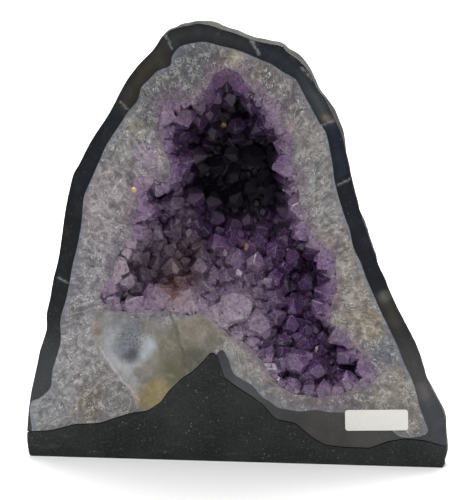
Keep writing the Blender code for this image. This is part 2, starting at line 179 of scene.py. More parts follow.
def wallDepth(points, mouth, inset=0.0, rim=None):
    # how far the hollow's wall lies behind the cut face, for (x, z) points in metres
    x, z = points[:, 0], points[:, 1]
    floorX, floorZ = np.array(floorLine, float).T * mm
    wallZ, wallDeep = np.array(backWall, float).T * mm
    overFloor = np.maximum(0.002, 0.014 + 1.15 * (z - np.interp(x, floorX, floorZ)))
    deep = (overFloor**-4 + np.interp(z, wallZ, wallDeep) ** -4) ** -0.25
    for humpX, humpZ, halfWide, forward in humps:
        deep = deep - forward * mm * np.exp(-((x / mm - humpX) ** 2 + (z / mm - humpZ) ** 2) / halfWide**2)
    near = np.clip((distanceTo(points, mouth) - inset) / 0.016, 0, 1)
    steep = 0.30 + 0.70 * np.sqrt(1 - (1 - near) ** 2)
    if rim is not None:
        steep[rim] = 0.30
    return (np.maximum(0.007, deep) - inset) * steep


def newObject(name, bm, smooth=False):
    bmesh.ops.recalc_face_normals(bm, faces=bm.faces)
    mesh = bpy.data.meshes.new(name)
    bm.to_mesh(mesh)
    bm.free()
    made = bpy.data.objects.new(name, mesh)
    bpy.context.scene.collection.objects.link(made)
    if smooth:
        mesh.shade_smooth()
    return made


def ringFaces(bm, rings):
    for near, far in zip(rings, rings[1:]):
        for k in range(len(near)):
            n = (k + 1) % len(near)
            bm.faces.new((near[k], near[n], far[n], far[k]))


def dome(name, outline, depth, shares, frontLength=0.0, rough=False):
    # closed solid from an outline on the cut face back to a blunt pole
    bm = bmesh.new()
    loops = []
    if frontLength:
        loops.append([bm.verts.new((x, cutY - frontLength, z)) for x, z in outline])
    for share in shares:
        wide = domeScale(share)
        loop = []
        for x, z in outline:
            place = Vector((poleX + (x - poleX) * wide, cutY + depth * share, poleZ + (z - poleZ) * wide))
            if rough:
                place = roughSkin(place, share)
            loop.append(bm.verts.new(place))
        loops.append(loop)
    ringFaces(bm, loops)
    bm.faces.new(loops[0])
    bmesh.ops.poke(bm, faces=[bm.faces.new(loops[-1])], offset=0.0)
    bmesh.ops.triangulate(bm, faces=bm.faces, quad_method="FIXED")
    return newObject(name, bm)


def roughSkin(place, share):
    outward = Vector((place.x - poleX, 0.6 * share * stone["depth"], place.z - poleZ)).normalized()
    swell = noise.fractal(place * 20, 1.0, 2.0, 2) + 0.6 * noise.noise(place * 9)
    fine = noise.fractal(place * 110, 1.0, 2.1, 4) - 0.7  # pits, only inwards of the CAD skin
    nubs = abs(noise.noise(place * 62)) - 0.5
    grown = min(1.0, share / 0.12)
    small = (stone["pits"] * fine + stone["nubs"] * nubs) * min(1.0, share / 0.03)
    moved = place + outward * (stone["swell"] * swell * grown + small)
    return Vector((moved.x, moved.y, flattened(moved.z)))


def footBlock(name, lift):
    bm = bmesh.new()
    columns = np.linspace(-0.130, 0.130, 131)
    rows = [cutY - 0.012, *np.linspace(cutY, cutY + 0.075, 16), 0.095]
    grid = [[bm.verts.new((x, y, footHeight(x, y) + lift)) for x in columns] for y in rows]
    for near, far in zip(grid, grid[1:]):
        for k in range(len(near) - 1):
            bm.faces.new((near[k], near[k + 1], far[k + 1], far[k]))
    under = bmesh.ops.extrude_face_region(bm, geom=list(bm.faces))
    for item in under["geom"]:
        if isinstance(item, bmesh.types.BMVert):
            item.co.z = -0.020
    bmesh.ops.triangulate(bm, faces=bm.faces, quad_method="FIXED")
    return newObject(name, bm)


def boolean(target, operation, tool):
    step = target.modifiers.new(operation.title(), "BOOLEAN")
    step.operation = operation
    step.object = tool
    bpy.context.view_layer.update()
    result = bpy.data.meshes.new_from_object(target.evaluated_get(bpy.context.evaluated_depsgraph_get()))
    target.modifiers.remove(step)
    target.data = result


def netInside(points, loops, step, seed, jitter=0.3):
    # spread-out points inside the loops, clear of their edges
    rng = np.random.default_rng(seed)
    low, high = points.min(axis=0), points.max(axis=0)
    columns = np.arange(low[0], high[0], step)
    rows = np.arange(low[1], high[1], step * 0.866)
    x, z = np.meshgrid(columns, rows)
    x = x + (np.arange(len(rows)) % 2)[:, None] * step / 2
    grid = np.column_stack([x.ravel(), z.ravel()]) + rng.uniform(-jitter, jitter, (x.size, 2)) * step
    odd = np.zeros(len(grid), bool)
    clear = np.full(len(grid), 1e9)
    for loop in loops:
        odd ^= insideOf(grid, loop)
        clear = np.minimum(clear, distanceTo(grid, loop))
    return grid[odd & (clear > 0.45 * step)]


def refineFront(piece, step, seed):
    # swaps the sawn face for a fine net, so that its attributes can carry the bands
    bm = bmesh.new()
    bm.from_mesh(piece.data)
    bm.verts.ensure_lookup_table()
    front = [f for f in bm.faces if all(abs(v.co.y - cutY) < 2e-6 for v in f.verts)]
    chosen = set(front)
    border = [e for e in {e for f in front for e in f.edges} if sum(f in chosen for f in e.link_faces) == 1]
    linked = {}
    for edge in border:
        for vert in edge.verts:
            linked.setdefault(vert, []).append(edge)
    loops, left = [], set(border)
    while left:
        edge = left.pop()
        loop, vert = [edge.verts[0]], edge.verts[1]
        while vert is not loop[0]:
            loop.append(vert)
            ahead = [e for e in linked[vert] if e in left]
            if not ahead:
                break
            edge = ahead[0]
            left.discard(edge)
            vert = edge.other_vert(vert)
        loops.append(loop)
    rings = [np.array([(v.co.x, v.co.z) for v in loop]) for loop in loops if len(loop) > 2]
    verts = [v for loop in loops for v in loop]
    index = {v: k for k, v in enumerate(verts)}
    edgePoints = np.array([(v.co.x, v.co.z) for v in verts])
    inner = netInside(edgePoints, rings, step, seed)
    points = [Vector(p) for p in np.vstack([edgePoints, inner])]
    fixedEdges = [(index[e.verts[0]], index[e.verts[1]]) for e in border]
    found = delaunay_2d_cdt(points, fixedEdges, [], 0, 1e-8)
    flat = np.array([tuple(p) for p in found[0]])
    middles = np.array([flat[list(f)].mean(axis=0) for f in found[2]])
    odd = np.zeros(len(middles), bool)
    for ring in rings:
        odd ^= insideOf(middles, ring)
    bmesh.ops.delete(bm, geom=front, context="FACES_ONLY")
    made = []
    for k, (x, z) in enumerate(flat):
        source = [j for j in found[3][k] if j < len(verts)]
        made.append(verts[source[0]] if source else bm.verts.new((x, cutY, z)))
    for face, keep in zip(found[2], odd):
        if keep:
            corners = [made[k] for k in face]
            if len(set(corners)) == 3 and not bm.faces.get(corners):
                bm.faces.new(corners)
    bmesh.ops.delete(bm, geom=[e for e in bm.edges if not e.link_faces], context="EDGES")
    bmesh.ops.recalc_face_normals(bm, faces=bm.faces)
    bm.to_mesh(piece.data)
    bm.free()


def meshPoints(mesh):
    co = np.empty(len(mesh.vertices) * 3)
    mesh.vertices.foreach_get("co", co)
    return co.reshape(-1, 3)


def store(mesh, name, values):
    made = mesh.attributes.new(name, "FLOAT", "POINT")
    made.data.foreach_set("value", np.asarray(values, np.float32))


def storeColour(mesh, name, values):
    made = mesh.attributes.new(name, "FLOAT_COLOR", "POINT")
    made.data.foreach_set("color", np.column_stack([values, np.ones(len(values))]).astype(np.float32).ravel())


def zoneColours(points, zones, sharp=3.0):
    # blends named patches of (x, z, reach, colour) by nearness
    total = np.zeros(len(points))
    mixed = np.zeros((len(points), 3))
    for x, z, reach, colour in zones:
        away = np.hypot(points[:, 0] / mm - x, points[:, 1] / mm - z) / reach
        weight = 1 / (0.02 + away) ** sharp
        total += weight
        mixed += weight[:, None] * np.array(colour)
    return mixed / total[:, None]


def wobbled(points, scale, size, seed=0):
    # small sideways shifts for (x, z) points
    return np.array([noise.noise_vector(Vector((x, z, seed)) * scale) for x, z in points])[:, :2] * size


def coat(piece, material):
    piece.data.materials.clear()
    piece.data.materials.append(material)
    print(piece.name, len(piece.data.polygons), "faces")


def plug(tree, socket, value):
    # links another node's output, or sets a plain value
    if isinstance(value, bpy.types.NodeSocket):
        tree.links.new(value, socket)
    else:
        socket.default_value = (*value, 1) if socket.type == "RGBA" and len(value) == 3 else value


def newNode(tree, kind, inputs=None, **settings):
    made = tree.nodes.new(kind)
    for key, value in settings.items():
        setattr(made, key, value)
    for key, value in (inputs or {}).items():
        plug(tree, made.inputs[key], value)
    return made.outputs


class Nodes:
    # one material's tree, with short names for the nodes that the finishes use
    def __init__(self, name):
        self.material = bpy.data.materials.new(name)
        self.material.use_nodes = True
        self.tree = self.material.node_tree
        self.shader = self.tree.nodes["Principled BSDF"]

    def attribute(self, name, output="Fac"):
        return newNode(self.tree, "ShaderNodeAttribute", attribute_name=name)[output]

    def where(self):
        return newNode(self.tree, "ShaderNodeTexCoord")["Object"]

    def split(self, vector):
        return newNode(self.tree, "ShaderNodeSeparateXYZ", {0: vector})

    def joined(self, x, y=0.0):
        return newNode(self.tree, "ShaderNodeCombineXYZ", {0: x, 1: y})[0]

    def vector(self, operation, a, b, output=0):
        return newNode(self.tree, "ShaderNodeVectorMath", {0: a, 1: b}, operation=operation)[output]

    def noise(self, vector, scale, detail=3.0, rough=0.5, distort=0.0, output="Fac"):
        return newNode(self.tree, "ShaderNodeTexNoise", {
            "Vector": vector, "Scale": scale, "Detail": detail, "Roughness": rough, "Distortion": distort})[output]

    def warped(self, vector, where, scale, detail, reach):
        pushed = self.noise(where, scale, detail, output="Color")
        return self.vector("ADD", vector, self.vector("MULTIPLY", pushed, reach))

    def voronoi(self, vector, scale, feature="F1"):
        return newNode(self.tree, "ShaderNodeTexVoronoi", {"Vector": vector, "Scale": scale},
                       feature=feature)["Distance"]

    def math(self, operation, a, b=0.0, clamp=False):
        return newNode(self.tree, "ShaderNodeMath", {0: a, 1: b}, operation=operation, use_clamp=clamp)[0]

    def times(self, first, *others):
        for other in others:
            first = self.math("MULTIPLY", first, other)
        return first

    def ramp(self, fac, low, high, to0=0.0, to1=1.0):
        return newNode(self.tree, "ShaderNodeMapRange", {
            "Value": fac, "From Min": low, "From Max": high, "To Min": to0, "To Max": to1})["Result"]

    def threads(self, where, scale, distort, wide):
        # thin winding lines
        off = self.math("SUBTRACT", self.noise(where, scale, 3, 0.55, distort), 0.5)
        return self.ramp(self.math("ABSOLUTE", off), wide, 0.004)

    def mix(self, fac, a, b, blend="MIX"):
        return newNode(self.tree, "ShaderNodeMix", {0: fac, 6: a, 7: b}, data_type="RGBA", blend_type=blend)[2]

    def over(self, colour, tint, *masks):
        return self.mix(self.times(*masks), colour, tint)

    def lay(self, tint, *masks):
        # lays a tint over the colour so far, where all the masks are high
        self.colour = self.over(self.colour, tint, *masks)

    def bump(self, height, strength, distance):
        return newNode(self.tree, "ShaderNodeBump", {
            "Height": height, "Strength": strength, "Distance": distance})[0]

    def finish(self, colour, roughness, normal=None, **constants):
        given = {"Base Color": colour, "Roughness": roughness, "Normal": normal, **constants}
        for key, value in given.items():
            if value is not None:
                plug(self.tree, self.shader.inputs[key.replace("_", " ")], value)
        return self.material


# rough outside of the nodule, grey-green to brown-black with pale dust; also on the foot and on open quartz
def rockSkin(n, where):
    fine = n.noise(where, 420, 5, 0.65)
    pits = n.noise(where, 150, 4, 0.65)
    colour = n.mix(n.ramp(n.noise(where, 38, 4, 0.6), 0.38, 0.62), (0.013, 0.014, 0.013), (0.042, 0.042, 0.032))
    colour = n.over(colour, (0.085, 0.078, 0.060), n.ramp(fine, 0.55, 0.75))
    colour = n.over(colour, (0.007, 0.007, 0.006), n.ramp(pits, 0.48, 0.38, 0.0, 0.75))
    dust = n.times(n.ramp(n.noise(where, 110, 5, 0.7), 0.58, 0.70), n.ramp(fine, 0.45, 0.65), 0.7)
    return n.over(colour, (0.140, 0.128, 0.100), dust), n.math("ADD", fine, pits)


# agate rind: polished navy to olive segments in front, dark rough skin behind
rindLook = {
    "net": 0.0010, "netSeed": 3,
    "polish": 0.15, "skinRoughness": 0.82, "gloss": 0.35,
    # coloured patches on the cut face: x, z, reach in mm, colour
    "zones": [
        (-50, 217, 10, (0.030, 0.026, 0.016)), (-59, 207, 7, (0.026, 0.023, 0.016)),
        (-14, 241, 18, (0.022, 0.023, 0.023)), (22, 226, 12, (0.012, 0.016, 0.025)),
        (30, 229, 3, (0.060, 0.052, 0.026)), (44, 206, 9, (0.040, 0.047, 0.050)),
        (50, 194, 1.8, (0.130, 0.108, 0.080)), (56, 176, 9, (0.010, 0.014, 0.028)),
        (64, 146, 12, (0.006, 0.008, 0.014)), (72, 129, 12, (0.006, 0.008, 0.014)),
        (82, 108, 8, (0.008, 0.010, 0.014)), (83, 97, 2.5, (0.100, 0.095, 0.080)),
        (86, 88, 5, (0.034, 0.030, 0.022)), (94, 62, 11, (0.014, 0.013, 0.012)),
        (103, 43, 4, (0.060, 0.052, 0.050)), (110, 26, 8, (0.010, 0.013, 0.019)),
        (-79, 165, 12, (0.006, 0.008, 0.014)), (-70, 187, 10, (0.007, 0.010, 0.015)),
        (-90, 137, 10, (0.006, 0.007, 0.009)), (-95, 132, 4, (0.030, 0.026, 0.020)),
        (-104, 76, 14, (0.009, 0.010, 0.011)), (-111, 36, 10, (0.010, 0.011, 0.012)),
        (52, 20, 12, (0.050, 0.042, 0.034)), (34, 26, 7, (0.032, 0.030, 0.027)),
        (78, 16, 9, (0.050, 0.044, 0.038)), (6, 43, 5, (0.055, 0.066, 0.078)),
        (-9, 56, 5, (0.028, 0.028, 0.030)),
    ],
    # pale veins across it: x, z to x, z and half width, in mm
    "veins": [
        (-40, 239, -36, 231, 0.4), (-65, 202, -61, 198, 0.4), (6, 238, 12, 229, 0.6), (35, 221, 42, 215, 0.7),
        (53, 156, 63, 161, 0.4), (-100, 103, -92, 99, 0.4), (46, 190, 54, 193, 0.4),
    ],
}


def paintRind(piece, look):
    place = meshPoints(piece.data)
    flat = place[:, [0, 2]]
    out = distanceTo(flat, closedLine(stoneLine, 0.004))
    into = distanceTo(flat, closedLine(agateLine, 0.004))
    storeColour(piece.data, "zone", zoneColours(flat + wobbled(flat, 60, 3 * mm), look["zones"], 5))
    store(piece.data, "across", out / np.maximum(1e-5, out + into))
    front = place[:, 1] < cutY + 0.0004
    wavy = np.array([noise.noise(Vector((x, z, 0)) * 220) for x, z in flat[front]]) * 0.5
    vein = np.zeros(len(flat))
    for x0, z0, x1, z1, half in look["veins"]:
        line = np.array([(x0, z0), (x1, z1)], float)
        away = distanceTo(flat[front] / mm, line, closed=False) + wavy
        vein[front] = np.maximum(vein[front], np.clip(1.5 - away / half, 0, 1))
    store(piece.data, "vein", vein)


def agateMaterial(look):
    n = Nodes("agate")
    where = n.where()
    zone = n.attribute("zone", "Color")
    wavy = n.math("ADD", n.attribute("across"), n.times(n.noise(where, 90, 2), 0.22))
    bands = n.noise(n.joined(n.times(wavy, 9.0)), 1.6, 3, 0.6)
    n.colour = zone
    n.lay(n.mix(0.75, zone, (0.9, 0.95, 1.0), "SOFT_LIGHT"), n.ramp(bands, 0.45, 0.72, 0.0, 0.25))
    n.lay((0.003, 0.004, 0.006), n.ramp(bands, 0.52, 0.40, 0.0, 0.20))
    # both edges of a segment are darker than its middle
    edges = n.ramp(n.math("ABSOLUTE", n.math("SUBTRACT", wavy, 0.60)), 0.10, 0.42)
    n.lay((0.004, 0.005, 0.008), edges, 0.70, 0.80)
    n.lay((0.070, 0.072, 0.075), n.ramp(n.noise(where, 130, 4, 0.6), 0.50, 0.78, 0.0, 0.22))
    n.lay((0.002, 0.003, 0.005), n.ramp(n.noise(where, 48, 3), 0.45, 0.62, 0.0, 0.55), 0.6)
    n.lay((0.26, 0.27, 0.27), n.attribute("vein"), n.ramp(n.noise(where, 500, 3), 0.35, 0.60, 0.1, 0.8))
    n.lay((0.30, 0.31, 0.30), n.ramp(n.noise(where, 900, 2), 0.66, 0.74), 0.25)
    skin, grain = rockSkin(n, where)
    rough = n.ramp(n.split(where)[1], cutY + 0.00015, cutY + 0.0006)
    normal = n.bump(n.times(grain, rough), 0.9, 0.0012)
    return n.finish(n.mix(rough, n.colour, skin), n.ramp(rough, 0, 1, look["polish"], look["skinRoughness"]),
                    normal, IOR=1.54, Specular_IOR_Level=look["gloss"])


def domeShares(count, last=0.985):
    # rings close together near the cut face and near the pole
    u = np.linspace(0, 1, count)
    return [float(last * (1 - (1 - a) ** 1.45) ** 1.05) if a else 0.0 for a in u]


coreShares = [0, 0.15, 0.32, 0.5, 0.66, 0.8, 0.91, 0.98]
outline = closedLine(stoneLine, 0.0022)
inner = closedLine(agateLine, 0.0016)
underTop = footBlock("underTop", -gap)
underRind = footBlock("underRind", gap)

rind = dome("agateRind", outline, stone["depth"], domeShares(54), rough=True)
core = dome("core", inner, stone["depth"] - stone["rindBack"], coreShares, frontLength=0.006)
boolean(rind, "DIFFERENCE", core)
boolean(rind, "DIFFERENCE", underRind)
refineFront(rind, rindLook["net"], rindLook["netSeed"])
paintRind(rind, rindLook)
coat(rind, agateMaterial(rindLook))


# quartz band: grey-white fibres from the rind to the hollow, with a polished plate at lower left
quartzLook = {
    "net": 0.0010, "netSeed": 5, "gloss": 0.35,
    "wallNet": 0.0032,  # the hollow's wall
    "zones": [
        (-88, 108, 13, (0.215, 0.205, 0.225)), (-76, 150, 13, (0.270, 0.235, 0.245)),
        (-66, 175, 12, (0.215, 0.205, 0.205)), (-48, 200, 12, (0.120, 0.118, 0.120)),
        (-26, 222, 12, (0.105, 0.105, 0.112)), (8, 220, 12, (0.160, 0.140, 0.130)),
        (30, 204, 10, (0.180, 0.165, 0.160)), (42, 180, 10, (0.230, 0.215, 0.205)),
        (48, 150, 12, (0.230, 0.220, 0.220)), (62, 118, 12, (0.250, 0.220, 0.200)),
        (68, 98, 9, (0.240, 0.210, 0.178)), (75, 80, 5, (0.225, 0.190, 0.135)),
        (83, 67, 6, (0.110, 0.118, 0.135)), (90, 46, 6, (0.215, 0.190, 0.155)),
        (97, 30, 6, (0.150, 0.135, 0.115)), (54, 36, 9, (0.110, 0.090, 0.095)),
        (28, 37, 7, (0.150, 0.135, 0.130)), (9, 54, 7, (0.230, 0.215, 0.195)),
        (-1, 64, 6, (0.250, 0.235, 0.210)), (-94, 78, 11, (0.215, 0.205, 0.215)),
        (-98, 44, 10, (0.235, 0.230, 0.235)), (-108, 27, 7, (0.190, 0.195, 0.200)),
        (-84, 34, 8, (0.130, 0.105, 0.080)), (-70, 30, 7, (0.165, 0.155, 0.150)),
        (-58, 190, 7, (0.240, 0.225, 0.190)), (0, 226, 5, (0.330, 0.290, 0.230)),
        (-52, 173, 5, (0.260, 0.185, 0.270)), (-36, 198, 5, (0.150, 0.100, 0.098)),
        (28, 195, 4, (0.300, 0.240, 0.240)), (12, 209, 4, (0.230, 0.165, 0.235)),
        (-18, 212, 4, (0.230, 0.150, 0.200)), (-8, 222, 4, (0.170, 0.120, 0.120)),
    ],
    "plateZones": [
        (-78, 72, 5, (0.205, 0.180, 0.155)), (-70, 74, 6, (0.205, 0.200, 0.205)),
        (-61, 68, 6, (0.160, 0.175, 0.205)), (-58, 60, 4.0, (0.050, 0.055, 0.070)),
        (-50, 64, 5, (0.290, 0.300, 0.320)), (-46, 74, 6, (0.180, 0.165, 0.150)),
        (-62, 48, 6, (0.270, 0.265, 0.265)), (-40, 62, 6, (0.170, 0.150, 0.105)),
        (-30, 66, 6, (0.130, 0.125, 0.085)), (-20, 74, 6, (0.200, 0.175, 0.140)),
        (-44, 41, 4.5, (0.210, 0.160, 0.055)), (-36, 50, 5, (0.090, 0.078, 0.036)),
        (-24, 58, 6, (0.070, 0.068, 0.045)), (-51, 52, 5, (0.180, 0.165, 0.140)),
        (-13, 70, 5, (0.130, 0.120, 0.095)), (-46, 33, 4, (0.200, 0.155, 0.060)),
    ],
    "plateLine": [
        (-83, 75), (-82, 82), (-75, 86), (-62, 82), (-48, 80), (-37, 79), (-20, 84), (-11, 78), (-6, 68),
        (-11, 63), (-20, 52), (-30, 44), (-38, 36), (-46, 26), (-54, 29), (-61, 40), (-77, 59),
    ],
    "paleLine": [(-77, 64), (-66, 48), (-54, 34)],
    "brownCrack": [(-38, 98), (-36, 82), (-32, 73), (-30, 62), (-28, 54)],
    "specks": {"middle": (-58, 69), "reach": 8},
    # white smoke in an arc, open above
    "smoke": {"middle": (-60, 66), "radius": 12.0, "wide": 3.0, "below": 78, "colour": (0.08, 0.10, 0.12)},
    "openLeftOf": -0.090,  # the rind is worn off there, and rock skin covers the quartz
}


def paintQuartz(piece, mouth, look):
    place = meshPoints(piece.data)
    flat = place[:, [0, 2]]
    front = place[:, 1] < cutY + 0.0004
    wobble = wobbled(flat, 70, 3 * mm)
    finer = wobbled(flat, 260, 1.2 * mm, 3)
    moved = flat + wobble + finer
    plate = closedLine(look["plateLine"], 0.003)
    inPlate = insideOf(flat + finer, plate)
    plateShare = np.clip(np.where(inPlate, distanceTo(flat + finer, plate), 0) / 0.0012, 0, 1)
    colours = zoneColours(moved, look["zones"], 4) * (1 - plateShare)[:, None]
    colours += zoneColours(moved, look["plateZones"], 4) * plateShare[:, None]
    smoke, specks = look["smoke"], look["specks"]
    fromRing = np.hypot(*(moved / mm - smoke["middle"]).T) - smoke["radius"]
    share = np.exp(-(fromRing / smoke["wide"]) ** 2) * np.clip((smoke["below"] - flat[:, 1] / mm) / 8, 0, 1)
    colours += (share * plateShare)[:, None] * np.array(smoke["colour"])
    off = np.hypot(*(flat / mm - specks["middle"]).T) / specks["reach"]
    line = distanceTo(flat + finer * 0.5, np.array(look["paleLine"]) * mm, closed=False)
    colours += np.clip(1.4 - line / 0.0005, 0, 1)[:, None] * np.array((0.16, 0.13, 0.14))
    crack = distanceTo(flat + wobble * 0.4 + finer, np.array(look["brownCrack"]) * mm, closed=False)
    storeColour(piece.data, "zone", np.clip(colours, 0, 1))
    stored = {
        "speck": np.exp(-off**2) * plateShare,
        "rust": np.where(front, np.clip(1.3 - crack / 0.0009, 0, 1), 0),
        "plate": plateShare,
        "toMouth": np.where(front, distanceTo(flat, mouth), 0.02),
        "toRind": np.where(front, distanceTo(flat, closedLine(agateLine, 0.004)), 0.02),
        "skin": (flat[:, 0] < look["openLeftOf"]) & ~front,
    }
    for name, values in stored.items():
        store(piece.data, name, values)


def quartzMaterial(look):
    n = Nodes("quartz")
    where = n.where()
    xyz = n.split(where)
    # round the hollow's middle, so that the fibres point at it
    fromX, fromZ = n.math("SUBTRACT", xyz[0], -0.006), n.math("SUBTRACT", xyz[2], 0.100)
    reach = n.math("SQRT", n.math("ADD", n.times(fromX, fromX), n.times(fromZ, fromZ)))
    polar = n.joined(n.times(n.math("ARCTAN2", fromZ, fromX), 0.100), n.times(reach, 0.30))
    bent = n.warped(polar, where, 70, 2, (0.006, 0.006, 0.0))
    zone = n.attribute("zone", "Color")
    plate, toMouth, toRind = map(n.attribute, ("plate", "toMouth", "toRind"))
    off = n.math("SUBTRACT", 1.0, plate)
    moss = n.noise(where, 260, 5, 0.68, 0.6)
    crumbs = n.noise(where, 1100, 4, 0.7)
    patches = n.ramp(n.noise(where, 55, 3), 0.35, 0.65)

    # darker gaps between the fibres, pale moss and threads on them
    n.colour = zone
    n.lay((0.05, 0.05, 0.06), n.ramp(n.noise(bent, 420, 4, 0.65), 0.54, 0.34), off, 0.70)
    n.lay((0.46, 0.44, 0.41), n.ramp(moss, 0.55, 0.66), n.ramp(off, 0, 1, 0.1, 0.45))
    n.lay((0.050, 0.048, 0.052), n.ramp(moss, 0.50, 0.38), n.ramp(off, 0, 1, 0.2, 0.60))
    n.lay((0.50, 0.48, 0.46), n.ramp(crumbs, 0.55, 0.70), off, 0.20)
    n.lay((0.060, 0.060, 0.070), n.ramp(crumbs, 0.47, 0.34), off, 0.25)
    n.lay((0.78, 0.76, 0.72), n.threads(where, 260, 1.4, 0.016), n.ramp(n.noise(where, 150, 3), 0.46, 0.56),
          off, 0.75)
    n.lay((0.60, 0.59, 0.60), n.ramp(n.voronoi(bent, 170, "DISTANCE_TO_EDGE"), 0.035, 0.0),
          n.ramp(n.noise(where, 170, 3), 0.48, 0.62), off, 0.35)
    # crystal ends cut through, near the hollow: violet to pinkish grey with pale outlines
    near = n.math("ADD", toMouth, n.ramp(n.noise(where, 95, 3), 0.3, 0.7, -0.006, 0.006))
    near = n.times(n.ramp(near, 0.0065, 0.0), off)
    tint = n.mix(patches, (0.110, 0.062, 0.130), (0.200, 0.150, 0.160))
    tint = n.mix(n.ramp(moss, 0.36, 0.62), n.mix(0.6, tint, (0.03, 0.015, 0.04)), tint)
    n.lay(tint, near, 0.60)
    cells = n.voronoi(n.warped(where, where, 180, 3, (0.006, 0.006, 0.006)), 150, "DISTANCE_TO_EDGE")
    n.lay((0.42, 0.37, 0.38), n.ramp(cells, 0.030, 0.0), near, 0.30)
    # smooth bluish skin against the rind
    skin = n.math("ADD", toRind, n.ramp(n.noise(where, 110, 2), 0.3, 0.7, -0.0016, 0.0016))
    n.lay(n.mix(n.noise(where, 60, 2), (0.17, 0.19, 0.22), (0.09, 0.10, 0.13)), n.ramp(skin, 0.0036, 0.0008),
          off, n.ramp(patches, 0, 1, 0.30, 0.75))
    n.lay((0.060, 0.028, 0.012), n.attribute("rust"), n.ramp(moss, 0.3, 0.6))
    smoky = n.noise(where, 110, 5, 0.6, 0.8)
    n.lay((0.36, 0.35, 0.35), n.ramp(smoky, 0.52, 0.74), plate, 0.30)
    n.lay((0.060, 0.058, 0.055), n.ramp(smoky, 0.50, 0.36), plate, 0.40)
    n.lay((0.020, 0.022, 0.028), n.attribute("speck"), n.ramp(n.noise(where, 1000, 2), 0.53, 0.62))
    # painted glints: tiny white specks of painted highlight
    n.lay((0.95, 0.95, 0.97), n.ramp(n.voronoi(where, 620), 0.09, 0.03),
          n.ramp(n.noise(where, 400, 2), 0.50, 0.60), 0.9)
    skinned = n.ramp(n.attribute("skin"), 0.05, 0.12)
    rockColour, grain = rockSkin(n, where)
    rough = n.math("MAXIMUM", n.ramp(moss, 0.3, 0.7, 0.16, 0.34), n.times(skinned, 0.82))
    normal = n.bump(n.times(n.math("ADD", moss, n.times(grain, skinned)), off), 0.25, 0.0006)
    return n.finish(n.mix(skinned, n.colour, rockColour), rough, normal,
                    IOR=1.54, Specular_IOR_Level=look["gloss"])


def wallSheet(bm, net, inset, front):
    # the hollow's wall, drawn in by inset, and its rim carried forward
    edge, points, faces = net
    run = np.roll(edge, -1, axis=0) - edge
    side = np.column_stack([run[:, 1], -run[:, 0]])
    side = side + np.roll(side, 1, axis=0)
    side /= np.linalg.norm(side, axis=1)[:, None]
    flat = points.copy()
    flat[:len(edge)] = edge + side * inset
    rim = np.arange(len(flat)) < len(edge)
    deep = np.maximum(0.0015, wallDepth(flat, edge, inset, rim))
    sheet = [bm.verts.new((x, cutY + back, z)) for (x, z), back in zip(flat, deep)]
    for face in faces:
        bm.faces.new([sheet[k] for k in face])
    ahead = [bm.verts.new((x, front, z)) for x, z in flat[:len(edge)]]
    bridge(bm, ahead, sheet[:len(edge)])
    return ahead


def bridge(bm, near, far):
    for k in range(len(near)):
        n = (k + 1) % len(near)
        bm.faces.new((near[k], near[n], far[n]))
        bm.faces.new((near[k], far[n], far[k]))


def wallNet(edge, step):
    within = netInside(edge, [edge], step, 11)
    within = within[distanceTo(within, edge) > 0.0030]
    found = delaunay_2d_cdt([Vector(p) for p in np.vstack([edge, within])], [], [list(range(len(edge)))], 1, 1e-8)
    return edge, np.array([tuple(p) for p in found[0]]), [tuple(f) for f in found[2]]


mouth = roughened(closedLine(mouthLine, 0.0018), 0.0011, 260, 2.0)
net = wallNet(mouth, quartzLook["wallNet"])
bm = bmesh.new()
bm.faces.new(wallSheet(bm, net, 0.0, cutY - 0.006))
bmesh.ops.triangulate(bm, faces=bm.faces)
room = newObject("room", bm)
quartz = dome("quartzBand", inner, stone["depth"] - stone["rindBack"] - gap, coreShares)
boolean(quartz, "DIFFERENCE", room)
boolean(quartz, "DIFFERENCE", underRind)
refineFront(quartz, quartzLook["net"], quartzLook["netSeed"])
paintQuartz(quartz, mouth, quartzLook)
coat(quartz, quartzMaterial(quartzLook))


# basalt foot: dark green-grey, dull polish, fine pale specks
footLook = {
    "net": 0.0022, "netSeed": 7,
    "polish": 0.42, "skinRoughness": 0.85, "gloss": 0.20,
    "dark": (0.0060, 0.0072, 0.0076), "light": (0.016, 0.0175, 0.0175),
    "specks": (0.30, 0.31, 0.29), "speckShare": 0.55,
}


def basaltMaterial(look):
    n = Nodes("basalt")
    where = n.where()
    grain = n.noise(where, 700, 4, 0.7)
    n.colour = n.mix(n.ramp(n.noise(where, 45, 5, 0.6), 0.35, 0.65), look["dark"], look["light"])
    n.lay((0.045, 0.047, 0.046), n.ramp(grain, 0.50, 0.72, 0.0, 0.8))
    n.lay(look["specks"], n.ramp(n.voronoi(where, 420), 0.20, 0.08), n.ramp(n.noise(where, 130, 3), 0.48, 0.62),
          look["speckShare"])
    scratches = n.noise(n.vector("MULTIPLY", where, (0.25, 1.0, 1.0)), 260, 3, 0.6)
    n.lay((0.070, 0.078, 0.076), n.ramp(scratches, 0.58, 0.75, 0.0, 0.3))
    skin, fine = rockSkin(n, where)
    xyz = n.split(where)
    rough = n.times(n.ramp(xyz[1], cutY + 0.00015, cutY + 0.0008), n.ramp(xyz[2], 0.0002, 0.0008))
    normal = n.bump(n.math("ADD", n.times(fine, rough), n.times(grain, 0.12)), 0.7, 0.0010)
    return n.finish(n.mix(rough, n.colour, skin), n.ramp(rough, 0, 1, look["polish"], look["skinRoughness"]),
                    normal, Specular_IOR_Level=look["gloss"])


foot = dome("basaltFoot", outline, stone["depth"], domeShares(54), rough=True)
boolean(foot, "INTERSECT", underTop)
refineFront(foot, footLook["net"], footLook["netSeed"])
coat(foot, basaltMaterial(footLook))


# bare paper label with round corners and a worn front edge
labelLook = {
    "wide": 0.035, "high": 0.0118, "thick": 0.0003, "corner": 0.0016,
    "middle": (0.0795, 0.0262), "turn": math.radians(2),
    "paper": ((0.64, 0.63, 0.59), (0.74, 0.73, 0.69)), "stain": (0.62, 0.60, 0.54), "roughness": 0.55,
}


